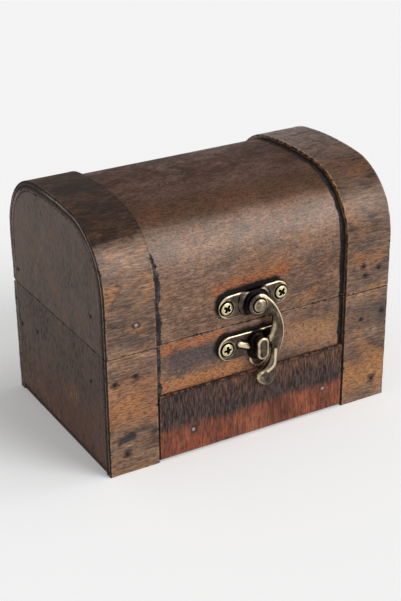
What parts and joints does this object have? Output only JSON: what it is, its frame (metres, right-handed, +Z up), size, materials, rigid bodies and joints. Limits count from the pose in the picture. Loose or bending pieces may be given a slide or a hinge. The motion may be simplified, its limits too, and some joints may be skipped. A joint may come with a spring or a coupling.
{
  "type": "treasure chest box",
  "caption": "Small wooden treasure chest box with an arched hinged lid, raised end straps, a front skirt board and a swinging hook latch",
  "frame": {"origin": "middle of the chest's footprint, on the surface that it stands on", "axes": "+X along the chest to its right, as seen from the front; -Y out of the front with the latch; +Z up"},
  "size_m": [0.1204, 0.0852, 0.095],
  "materials": {
    "sheet_wood": "stained, satin",
    "strap_wood": "stained, satin",
    "end_wood": "stained, matt",
    "skirt_wood": "stained, matt",
    "inner_wood": "matt",
    "antique_brass": "antique, worn edges",
    "hinge_brass": "antique",
    "bright_brass": "polished",
    "tack_steel": "dull",
    "washer_black": "matt"
  },
  "bodies": {
    "base": {"base_back_board": "sheet_wood", "base_bottom": "inner_wood", "base_end_tacks": "tack_steel", "base_front_board": "sheet_wood", "base_left_back_strap": "strap_wood", "base_left_end": "end_wood", "base_left_front_strap": "strap_wood", "base_right_back_strap": "strap_wood", "base_right_end": "end_wood", "base_right_front_strap": "strap_wood", "base_strap_tacks": "tack_steel", "catch_plate": "antique_brass", "catch_plate_screws": "bright_brass", "catch_post": "antique_brass", "front_skirt": "skirt_wood", "hinge_base_screws": "bright_brass", "left_hinge_base_leaf": "hinge_brass", "left_hinge_pin": "hinge_brass", "right_hinge_base_leaf": "hinge_brass", "right_hinge_pin": "hinge_brass", "skirt_tacks": "tack_steel"},
    "lid": {"hinge_lid_screws": "bright_brass", "latch_pivot": "antique_brass", "latch_plate": "antique_brass", "latch_plate_screws": "bright_brass", "latch_washer": "washer_black", "left_hinge_lid_leaf": "hinge_brass", "lid_back_rail": "inner_wood", "lid_end_tacks": "tack_steel", "lid_front_rail": "inner_wood", "lid_left_end": "end_wood", "lid_left_strap": "strap_wood", "lid_right_end": "end_wood", "lid_right_strap": "strap_wood", "lid_shell": "sheet_wood", "lid_strap_tacks": "tack_steel", "right_hinge_lid_leaf": "hinge_brass"},
    "latch_hook": {"latch_hook": "antique_brass"}
  },
  "joints": [
    {"name": "lid_hinge", "type": "hinge", "parent": "base", "child": "lid", "pos_m": [0, 0.039, 0.047], "axis": [-1, 0, 0], "range_deg": [0, 105]},
    {"name": "hook_swing", "type": "hinge", "parent": "lid", "child": "latch_hook", "pos_m": [0, -0.0425, 0.0548], "axis": [0, -1, 0], "range_deg": [0, 180]}
  ]
}
